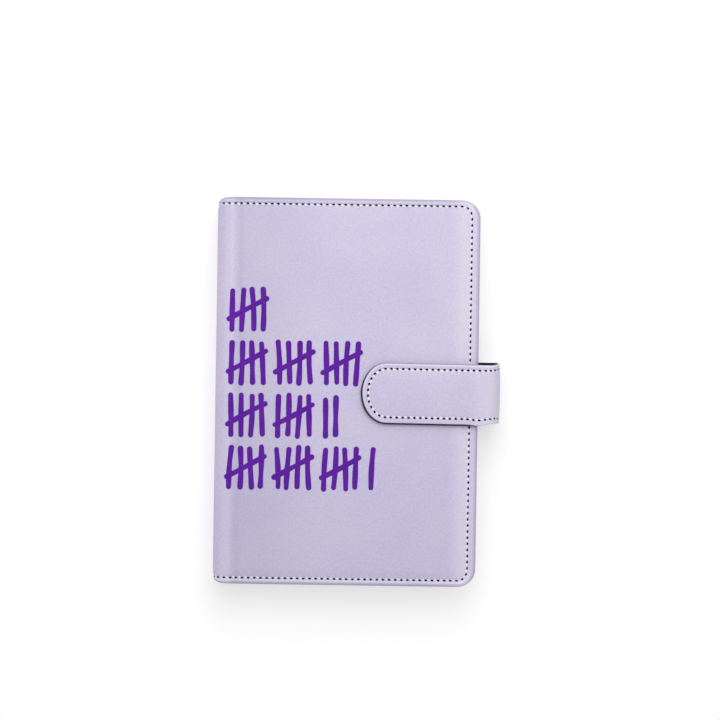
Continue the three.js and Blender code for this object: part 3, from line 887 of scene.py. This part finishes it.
def on_strap(run, across, height):
    """A point of the flat strap, carried onto the path. Its side part drifts to the head."""
    (x, z), (nx, nz) = strap_frame(run)
    start = FLAT_RUN - 3 + DRIFT_SKEW * (across + STRAP_HALF) / (2 * STRAP_HALF)
    drift = DRIFT * smoothstep(start, start + DRIFT_RUN, run)
    drift -= LEAN * (min(run, FLAT_RUN) - LEAN_FROM)
    return (x + nx * height, STRAP_Y + across + drift, z + nz * height)

# %% The outline and sections of the strap
NO_INSETS = (0.0, 0.0, 0.0)
# The insets leave a strip of dark backing at the tail and the tip: painted shadow of the strap.
FACE_INSETS = (0.75, 0.1, 0.8)     # the face's edge inside the backing's: tail, head and tip
TIP_TURNS = 32
STRAP_SEAM = 2.75
STRAP_PITCH = 2.85
# Strengths of the painted highlight on the strap's rim and across its bend, and of the painted
# shade in its seam's valley.
RIM_LIGHT, BEND_LIGHT, SEAM_SHADE = 0.55, 0.95, 0.25
BEND_CENTRE, BEND_WIDTH = FLAT_RUN + 6.0, 6.0
MIDDLE = 40.0


def strap_outline(insets, end_run):
    """Points round the flat strap with the point on its middle line that each one faces."""
    tail_inset, head_inset, tip_inset = insets
    half = STRAP_HALF - (tail_inset + head_inset) / 2
    centre = (tail_inset - head_inset) / 2
    runs = steps(TIP_DEPTH, end_run, 1.0)
    outline = []
    for run in runs[::-1]:
        # The face spreads over the tail's strip near the bend, so the painted shadow stops there.
        spread = 0.9 * tail_inset * smoothstep(FLAT_RUN - 6.0, FLAT_RUN + 1.0, run)
        outline.append(((run, centre - half - spread), (run, centre)))
    for i in range(1, TIP_TURNS):
        a = math.pi * i / TIP_TURNS
        depth = TIP_DEPTH - tip_inset
        outline.append(((TIP_DEPTH - depth * math.sin(a), centre - half * math.cos(a)),
                        (TIP_DEPTH, centre)))
    return outline + [((run, centre + half), (run, centre)) for run in runs]


def drawn_in(edge, middle, inset):
    """The place at an inset from the strap's edge, towards its middle line."""
    t = min(1.0, inset / math.dist(edge, middle))
    return [a + (b - a) * t for a, b in zip(edge, middle)]


def strap_layer(name, section, outline, rim_light):
    """A closed layer: each section point is an inset from the edge and a height."""
    points, pale = [], []
    for edge, middle in outline:
        # Painted highlight on the rim, stronger towards the head, and across the bend; painted
        # shade in the seam's valley.
        lit = rim_light * (0.6 + 0.4 * smoothstep(-10.0, 8.0, edge[1]))
        for inset, height in section:
            points.append(on_strap(*drawn_in(edge, middle, inset), height))
            shade = lit * bell(inset, 0.5, 0.38)
            shade += BEND_LIGHT * rim_light * bell(edge[0], BEND_CENTRE, BEND_WIDTH)
            pale.append(shade - SEAM_SHADE * rim_light * bell(inset, STRAP_SEAM, GROOVE))
    rim = len(section)
    last = (len(outline) - 1) * rim
    faces = grid_faces(len(outline), rim)
    faces += [tuple(range(rim))[::-1], tuple(range(last, last + rim))]
    return new_piece(name, points, faces, pale=pale)


def strap_face_height(inset):
    rise = STRAP_THICK - rolled(inset, 0.8, 0.6) - 0.28 * bell(inset, STRAP_SEAM, GROOVE)
    return rise + 0.28 * (1 - math.exp(-((max(0.0, inset - STRAP_SEAM) / 3.0) ** 2)))


STRAP_INSETS = [0.0, 0.05, 0.16, 0.34, 0.55, 0.8, 1.2, 1.7, 2.1, 2.4, 2.6, 2.75, 2.9, 3.15, 3.5,
                4.1, 5.0, 6.2, 8.0, 10.5, MIDDLE]
face_section = ([(MIDDLE, STRAP_BACKING), (1.0, STRAP_BACKING), (0.1, STRAP_BACKING)]
                + [(inset, strap_face_height(inset)) for inset in STRAP_INSETS])
backing_section = [(MIDDLE, 0.0), (0.5, 0.0), (0.12, 0.06), (0.0, 0.25), (0.0, 0.55),
                   (0.12, STRAP_BACKING), (MIDDLE, STRAP_BACKING)]
strap_face = strap_layer("strap_face", face_section, strap_outline(FACE_INSETS, STRAP_RUN),
                         RIM_LIGHT)
strap_backing = strap_layer("strap_backing", backing_section,
                            strap_outline(NO_INSETS, STRAP_RUN), 0.0)
strap_face.data.materials.append(skin_finish)
strap_backing.data.materials.append(backing_and_shadow_finish)
print("strap", triangles(strap_face) + triangles(strap_backing), "triangles")

# %% Sew the strap, find two points in its bend, and keep it where it is built
def strap_seam():
    line = []
    for edge, middle in strap_outline(FACE_INSETS, STRAP_RUN - 2.5):
        place = drawn_in(edge, middle, STRAP_SEAM)
        nx, nz = strap_frame(place[0])[1]
        line.append((on_strap(*place, strap_face_height(STRAP_SEAM)), (nx, 0, nz)))
    return line


def bend_place(share):
    """A point in the middle of the strap's thickness, at a share of its bend, in metres."""
    x, _, z = on_strap(FLAT_RUN + BEND_RUN * share, 0.0, MID)
    return (x * MM, 0, z * MM)


strap_start, strap_end = bend_place(0.92), bend_place(0.08)
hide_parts("strap_side", "strap_flap")
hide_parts("strap_side_backing", "strap_flap_backing")
for piece in (strap_face, strap_backing):
    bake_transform(piece)
for piece in seam_pair("strap_seam", strap_seam(), STRAP_PITCH, -1):
    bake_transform(piece)

# %% [markdown]
# ## Rings and snap
# The rings are bent wire, so each half is a round section swept along its arc. The base is an
# arched sheet. The snap's two discs are turned forms, made by one lathe function.

# %% Swept wire and turned discs
RING_RADIUS = 11.0
RING_WIRE = 1.1
RING_START = 24.0            # degrees from the base, where a half ring starts
RING_STEPS = 40
WIRE_TURNS = 14
DISC_TURNS = 48


def around(turns):
    return [2 * math.pi * k / turns for k in range(turns)]


def tube_faces(rows, turns):
    """Faces between rows of points, each row a closed round."""
    faces = []
    for i in range(rows - 1):
        for k in range(turns):
            a, b = i * turns + k, i * turns + (k + 1) % turns
            faces.append((a, b, b + turns, a + turns))
    return faces


def ring_half(node):
    """Half a ring: a round wire along an arc, from the base to the far side."""
    wire = (span(node, Y)[1] - span(node, Y)[0]) / 2
    side = 1 if node.endswith("front") else -1
    centre = (span(node, X)[1] - wire - RING_RADIUS, sum(span(node, Y)) / 2, TOP_Z / 2)
    points = []
    for i in range(RING_STEPS + 1):
        a = math.radians(RING_START + (180 - RING_START) * i / RING_STEPS)
        squeeze = 0.999 if i else 1.0
        for b in around(WIRE_TURNS):
            r = RING_RADIUS + wire * math.cos(b) * squeeze
            points.append((centre[X] - r * math.cos(a), centre[Y] + wire * math.sin(b),
                           centre[Z] + side * r * math.sin(a)))
    last = RING_STEPS * WIRE_TURNS
    ends = [tuple(range(WIRE_TURNS)), tuple(range(last, last + WIRE_TURNS))]
    return new_piece(f"wire_{node}", points, tube_faces(RING_STEPS + 1, WIRE_TURNS) + ends)


def turned_disc(name, profile, centre):
    """Turns a profile of (radius, height) round an upright axis."""
    points = [(centre[X] + radius * math.cos(b), centre[Y] + radius * math.sin(b),
               centre[Z] + height) for radius, height in profile for b in around(DISC_TURNS)]
    return new_piece(name, points, tube_faces(len(profile), DISC_TURNS))


ring_nodes = [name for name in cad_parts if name.startswith("ring_") and name[5].isdigit()]
for node in ring_nodes:
    wire_half = ring_half(node)
    wire_half.data.materials.append(nickel_finish)
    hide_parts(node)
    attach(wire_half, "binder")
print("ring halves:", len(ring_nodes))

# %% Snap discs
def snap_disc(node, body, profile, facing_up):
    (x0, x1), (y0, y1), (z0, z1) = (span(node, axis) for axis in (X, Y, Z))
    base = z0 if facing_up else z1
    sign = 1 if facing_up else -1
    radius, thick = (x1 - x0) / 2, z1 - z0
    shape = [(r * radius, sign * h * thick) for r, h in profile]
    disc = turned_disc(f"{node}_disc", shape, ((x0 + x1) / 2, (y0 + y1) / 2, base))
    disc.data.materials.append(nickel_finish)
    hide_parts(node)
    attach(disc, body)


snap_disc("snap_post", "front_cover",
          [(0, 0), (1, 0), (1, 0.4), (0.95, 0.55), (0.62, 0.62), (0.56, 0.7), (0.5, 0.95),
           (0.44, 1.0), (0, 1.0)], True)
snap_disc("snap_cup", "strap",
          [(0, 0), (1, 0), (1, 0.5), (0.94, 0.8), (0.66, 0.9), (0.6, 1.0), (0.54, 0.9),
           (0.5, 0.45), (0, 0.4)], False)

# %% Ring base
def arched_base():
    x0, x1 = span("ring_base", X)
    y0, y1 = span("ring_base", Y)
    z0, z1 = span("ring_base", Z)
    half, middle = (z1 - z0) / 2, (z0 + z1) / 2
    across = 24
    points = []
    rows = steps(y0, y1, 3.0)
    for y in rows:
        near_end = min(y - y0, y1 - y)
        taper = math.sqrt(min(1.0, (near_end + 0.6) / 5.0))
        for i in range(across + 1):
            a = math.pi * i / across
            width = half * (0.45 + 0.55 * taper)
            points.append((x0 + (x1 - x0) * math.sin(a) ** 0.6, y, middle - width * math.cos(a)))
    return new_piece("arched_base", points, grid_faces(len(rows), across + 1))


base = facing(arched_base(), (1, 0, 0))
thicken(base, 0.7)
base.data.materials.append(nickel_finish)
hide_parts("ring_base")
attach(base, "binder")

# %% [markdown]
# ## Envelopes
# The pile holds sixty thin envelopes. Each has six punched holes and hangs on the rings, so
# the pile's two sides follow the rings' curve. A flat curve with holes makes one envelope, and
# a geometry tree lays the copies on top of each other with a small seeded offset, as nobody
# stacks them exactly.

# %% One envelope
ENV_WIDTH, ENV_HEIGHT = 105.0, 171.0
HOLE_MARGIN = 5.5
HOLE_RADIUS = 2.6
RING_X = span("ring_1_front", X)[1] - RING_WIRE - RING_RADIUS
PILE_LOW = span("back_pocket", Z)[1] + 0.3
PILE_HEIGHT = 20.0
DIP, DIP_START, DIP_END = 2.1, -36.0, -6.0
RING_YS = sorted({round(sum(span(name, Y)) / 2, 2) for name in ring_nodes})


def envelope_loops():
    """The outline of an envelope and its punched holes, with the holes' centres at X 0."""
    left, right, half = -HOLE_MARGIN, ENV_WIDTH - HOLE_MARGIN, ENV_HEIGHT / 2
    r = 2.0
    loops = [[(left, -half), (right - r, -half), (right, r - half), (right, half - r),
              (right - r, half), (left, half)]]
    for y in RING_YS:
        loops.append([(HOLE_RADIUS * math.cos(a), y + HOLE_RADIUS * math.sin(a))
                      for a in around(14)])
    return loops


def flap_loops():
    """The closing flap of the top envelope, with slanted sides."""
    left, right, half = HOLE_MARGIN + 3.0, ENV_WIDTH - HOLE_MARGIN - 0.6, ENV_HEIGHT / 2 - 0.4
    low = half - 30.0
    return [[(left, half), (left + 9.0, low + 2.0), (left + 12.0, low), (right - 12.0, low),
             (right - 9.0, low + 2.0), (right, half)]]


def paper_shape(name, loops, thickness):
    """Flat paper cut along closed loops, then bent down where it has passed the rings."""
    curve = bpy.data.curves.new(name, "CURVE")
    curve.dimensions = "2D"
    curve.fill_mode = "BOTH"
    curve.extrude = thickness / 2 * MM
    for loop in loops:
        spline = curve.splines.new("POLY")
        spline.points.add(len(loop) - 1)
        for point, (x, y) in zip(spline.points, loop):
            point.co = (x * MM, y * MM, 0, 1)
        spline.use_cyclic_u = True
    flat = add_object(name, curve)
    depsgraph = bpy.context.evaluated_depsgraph_get()
    mesh = bpy.data.meshes.new_from_object(flat.evaluated_get(depsgraph), depsgraph=depsgraph)
    bpy.data.objects.remove(flat)
    shape = bmesh.new()
    shape.from_mesh(mesh)
    bmesh.ops.remove_doubles(shape, verts=shape.verts, dist=1e-6)
    ring_x = RING_X + RING_RADIUS
    for x in steps(DIP_START, DIP_END, 4.5):
        bmesh.ops.bisect_plane(shape, geom=shape.verts[:] + shape.edges[:] + shape.faces[:],
                               plane_co=((x - ring_x) * MM, 0, 0), plane_no=(1, 0, 0))
    for vert in shape.verts:
        x = vert.co.x / MM + ring_x
        vert.co.z -= DIP * smoothstep(DIP_START, DIP_END, x) * MM
    shape.to_mesh(mesh)
    shape.free()
    return add_object(name, mesh)

# %% The pile
def pile_tree():
    tree, start, end = new_group(
        "pile",
        [("Geometry", GEOMETRY, None), ("Offset", FLOAT, 0.0005), ("Seed", "NodeSocketInt", 7),
         ("Sheet", "NodeSocketObject", None), ("Material", "NodeSocketMaterial", None)],
        [("Geometry", GEOMETRY)], "GeometryNodeTree")
    low, high = [add_node(tree, "ShaderNodeVectorMath", {0: corner, "Scale": start["Offset"]},
                          operation="SCALE").outputs["Vector"]
                 for corner in ((-1, -1, 0), (1, 1, 0))]
    shift = add_node(tree, "FunctionNodeRandomValue",
                     {"Min": low, "Max": high, "Seed": start["Seed"]}, data_type="FLOAT_VECTOR")
    moved = add_node(tree, "GeometryNodeSetPosition",
                     {"Geometry": start["Geometry"], "Offset": shift.outputs[0]})
    source = add_node(tree, "GeometryNodeObjectInfo", {"Object": start["Sheet"]})
    placed = add_node(tree, "GeometryNodeInstanceOnPoints",
                      {"Points": moved.outputs["Geometry"],
                       "Instance": source.outputs["Geometry"]})
    real = add_node(tree, "GeometryNodeRealizeInstances", {"Geometry": placed.outputs["Instances"]})
    dressed = add_node(tree, "GeometryNodeSetMaterial",
                       {"Geometry": real.outputs["Geometry"], "Material": start["Material"]})
    tree.links.new(dressed.outputs["Geometry"], end["Geometry"])
    return tree


PILE_COUNT = 60
pitch = PILE_HEIGHT / PILE_COUNT
one_sheet = paper_shape("one_envelope", envelope_loops(), pitch * 0.78)
layers = []
for i in range(PILE_COUNT):
    height = (i + 0.5) * pitch
    reach = math.sqrt(RING_RADIUS ** 2 - (height - PILE_HEIGHT / 2) ** 2)
    layers.append((RING_X + reach, 0, PILE_LOW + DIP + height))
pile_mesh = bpy.data.meshes.new("envelope_pile")
pile_mesh.from_pydata([tuple(v * MM for v in p) for p in layers], [], [])
pile = add_object("envelope_pile", pile_mesh)
run_tree(pile, pile_tree(), {"Sheet": one_sheet, "Material": paper_finish, "Offset": 0.00035})
bpy.data.objects.remove(one_sheet)
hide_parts("envelopes")
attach(pile, "binder")
flap = paper_shape("envelope_flap", flap_loops(), 0.25)
flap.data.transform(Matrix.Translation(Vector(layers[-1]) * MM + Vector((0, 0, 0.3 * MM))))
flap.data.materials.append(paper_finish)
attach(flap, "binder")
print("pile", triangles(pile) + triangles(flap), "triangles")

# %% [markdown]
# ## Print
# Groups of tally marks stand on the front cover, in film pressed onto the leather. A pen
# stroke is never quite straight or even, so each one is a ribbon whose line sways and whose
# width swells. Overlapping strokes are joined into one outline, so no two faces lie in one
# plane.

# %% Draw one stroke
def stroke_piece(name, start, end, width, seed):
    random.seed(seed)
    sway = random.uniform(-0.35, 0.35)
    swell = random.uniform(0.04, 0.12)
    length = math.dist(start, end)
    along = ((end[0] - start[0]) / length, (end[1] - start[1]) / length)
    side = (-along[1], along[0])
    cuts = 22
    spine = []
    for i in range(cuts + 1):
        t = i / cuts
        bow = sway * math.sin(math.pi * t)
        half = width / 2 * (1 + swell * math.sin(2.4 * math.pi * t + seed))
        spine.append((start[0] + along[0] * length * t + side[0] * bow,
                      start[1] + along[1] * length * t + side[1] * bow, half))
    left = [(x - side[0] * h, y - side[1] * h) for x, y, h in spine]
    right = [(x + side[0] * h, y + side[1] * h) for x, y, h in spine]
    angle = math.atan2(along[1], along[0])

    def cap(x, y, radius, first):
        return [(x + radius * math.cos(first + math.pi * k / 8),
                 y + radius * math.sin(first + math.pi * k / 8)) for k in range(1, 8)]

    outline = left + cap(*spine[-1][:2], spine[-1][2], angle - math.pi / 2)
    outline += right[::-1] + cap(*spine[0][:2], spine[0][2], angle + math.pi / 2)
    count = len(outline)
    points = [(x, y, TOP_Z - 0.4) for x, y in outline] + [(x, y, TOP_Z + 0.4) for x, y in outline]
    faces = [tuple(range(count))[::-1], tuple(range(count, 2 * count))] + tube_faces(2, count)
    return new_piece(name, points, faces, smooth=False)

# %% Join strokes, lay them on the leather and give them their film thickness
FILM = 0.14
STROKE_WIDTH = 2.6
STROKE_UNEVEN = 1.3


def join_strokes(strokes):
    first = strokes[0]
    for other in strokes[1:]:
        add_modifier(first, "BOOLEAN", object=other, operation="UNION", solver="EXACT")
        freeze(first)
        bpy.data.objects.remove(other)
    return first


def press_on(piece):
    """Sets the film's upper face just above the leather and its lower face just inside it."""
    for vert in piece.data.vertices:
        x, y, z = (v / MM for v in vert.co)
        skin = TOP_Z + hinge_dip(x, TOP_Z)
        vert.co.z = (skin + FILM if z > TOP_Z else skin - 0.05) * MM


def tally_group(node, lone):
    (x0, x1), (y0, y1) = span(node, X), span(node, Y)
    number = sum(ord(letter) * (k + 3) for k, letter in enumerate(node)) % 97
    random.seed(number)
    strokes = []
    count = 1 if lone else 4
    for i in range(count):
        share = (i + 0.5) / count if lone else i / 3.0
        inner0, inner1 = x0 + STROKE_WIDTH / 2 + 0.9, x1 - STROKE_WIDTH / 2 - 0.9
        x = (x0 + x1) / 2 if lone else inner0 + (inner1 - inner0) * share
        lean = random.uniform(-0.6, 0.6)
        low = y0 + STROKE_WIDTH / 2 + random.uniform(0.0, STROKE_UNEVEN)
        high = y1 - STROKE_WIDTH / 2 - random.uniform(0.0, STROKE_UNEVEN)
        strokes.append(stroke_piece(f"{node}_stroke_{i}", (x - lean, low), (x + lean, high),
                                    STROKE_WIDTH, number + i))
    if not lone:
        tall = y1 - y0
        strokes.append(stroke_piece(f"{node}_slash", (x0 + 0.6, y0 + tall * 0.3),
                                    (x1 - 0.6, y0 + tall * 0.74), STROKE_WIDTH * 0.96,
                                    number + 9))
    group = join_strokes(strokes)
    group.name = group.data.name = f"{node}_film"
    press_on(group)
    group.data.materials.clear()
    group.data.materials.append(print_finish)
    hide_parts(node)
    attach(group, "front_cover")
    return group


tally_nodes = [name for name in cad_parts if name.startswith("tally_")]
films = [tally_group(node, "single" in node) for node in tally_nodes]
print("tally groups:", len(films), "with", sum(triangles(film) for film in films), "triangles")

# %% [markdown]
# ## The pieces that stay as the frame has them
# Boards, blades, rivets and pockets have the right shape already, so they only get a finish.

# %% Dress the remaining nodes
def finish_for(name):
    if name.endswith("_board"):
        return board_finish
    if name.endswith("_foam"):
        return foam_finish
    if name.startswith(("ring", "rivet", "snap")):
        return nickel_finish
    if name.endswith("_backing"):
        return backing_and_shadow_finish
    if name == "envelopes":
        return paper_finish
    if name.startswith("tally"):
        return print_finish
    if name.endswith(("_pocket", "_lining")) or name == "card_slots":
        return lining_finish
    return skin_finish


for name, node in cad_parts.items():
    if not node.material_slots:
        node.data.materials.append(None)
    for material_slot in node.material_slots:
        material_slot.material = finish_for(name)

# %% [markdown]
# ## Floor, light and camera
# The light is plain and soft: a wide lamp above the middle, a second one beyond the head, a
# weak one at the left and an even world. Floor and world are white for the camera and in
# reflections, and the floor still takes the soft shadow. The camera hangs straight above with
# a long lens, turned by a degree as in the photograph.

# %% Floor
FLOOR_SHARE, FLOOR_WHITE = 0.25, 1.9
WORLD_LIGHT, WORLD_WHITE = 0.53, 1.0


def seen_rays(tree):
    """1 for rays from the camera, from a reflection or through glass, 0 for the others."""
    rays = add_node(tree, "ShaderNodeLightPath").outputs
    mirrored = maths(tree, "MAXIMUM", rays["Is Glossy Ray"], rays["Is Transmission Ray"])
    return maths(tree, "MAXIMUM", rays["Is Camera Ray"], mirrored)


def white_floor():
    size = 3000.0
    floor = new_piece("floor", [(-size, -size, 0), (size, -size, 0), (size, size, 0),
                                (-size, size, 0)], [(0, 1, 2, 3)], smooth=False)
    material = bpy.data.materials.new("white_floor")
    material.use_nodes = True
    tree = material.node_tree
    shader = tree.nodes["Principled BSDF"]
    shader.inputs["Base Color"].default_value = (0.9, 0.9, 0.9, 1)
    shader.inputs["Roughness"].default_value = 0.9
    shader.inputs["Specular IOR Level"].default_value = 0.0
    white = add_node(tree, "ShaderNodeEmission", {"Color": (1, 1, 1, 1), "Strength": FLOOR_WHITE})
    both = add_node(tree, "ShaderNodeMixShader",
                    {"Fac": maths(tree, "MULTIPLY", seen_rays(tree), FLOOR_SHARE),
                     1: shader.outputs["BSDF"], 2: white.outputs["Emission"]})
    tree.links.new(both.outputs["Shader"], tree.nodes["Material Output"].inputs["Surface"])
    floor.data.materials.append(material)


white_floor()

# %% World and lamps
world = bpy.data.worlds.new("studio")
bpy.context.scene.world = world
world.use_nodes = True
background = world.node_tree.nodes["Background"]
background.inputs["Color"].default_value = (1.0, 1.0, 1.0, 1)
strength = map_range(world.node_tree, seen_rays(world.node_tree), 0.0, 1.0, WORLD_LIGHT,
                     WORLD_WHITE)
world.node_tree.links.new(strength, background.inputs["Strength"])


def lamp(name, place, target, size, power):
    data = bpy.data.lights.new(name, "AREA")
    data.shape = "DISK"
    data.size = size
    data.energy = power
    light = add_object(name, data)
    light.location = place
    light.rotation_euler = (Vector(target) - Vector(place)).to_track_quat("-Z", "Y").to_euler()


lamp("key", (0.03, 0.15, 0.52), (0.03, 0.03, 0.02), 0.36, 0.97)
lamp("top", (0.08, 0.60, 0.65), (0, 0, 0.02), 0.45, 0.8)
lamp("side", (-0.75, 0.1, 0.22), (0, 0, 0.02), 0.5, 0.38)

# %% Camera
PHOTO = 720
MM_PER_PIXEL = 190.0 / 387.5     # the cover's height over its height in the photograph
COVER_CENTRE_PIXEL = (346.5, 392.0)
TURN = math.radians(0.87)
LENS, SENSOR = 100.0, 36.0

distance = PHOTO * MM_PER_PIXEL * LENS / SENSOR
right = (PHOTO / 2 - COVER_CENTRE_PIXEL[0]) * MM_PER_PIXEL
up = (COVER_CENTRE_PIXEL[1] - PHOTO / 2) * MM_PER_PIXEL
camera_data = bpy.data.cameras.new("camera")
camera_data.lens = LENS
camera_data.sensor_width = SENSOR
camera_data.clip_start = 0.01
camera = add_object("camera", camera_data)
camera.location = ((right * math.cos(TURN) - up * math.sin(TURN)) * MM,
                   (right * math.sin(TURN) + up * math.cos(TURN)) * MM,
                   (TOP_Z + distance) * MM)
camera.rotation_euler = (0, 0, TURN)
bpy.context.scene.camera = camera
bpy.context.scene.view_settings.view_transform = "Standard"
print("camera", round(distance), "mm above the cover")
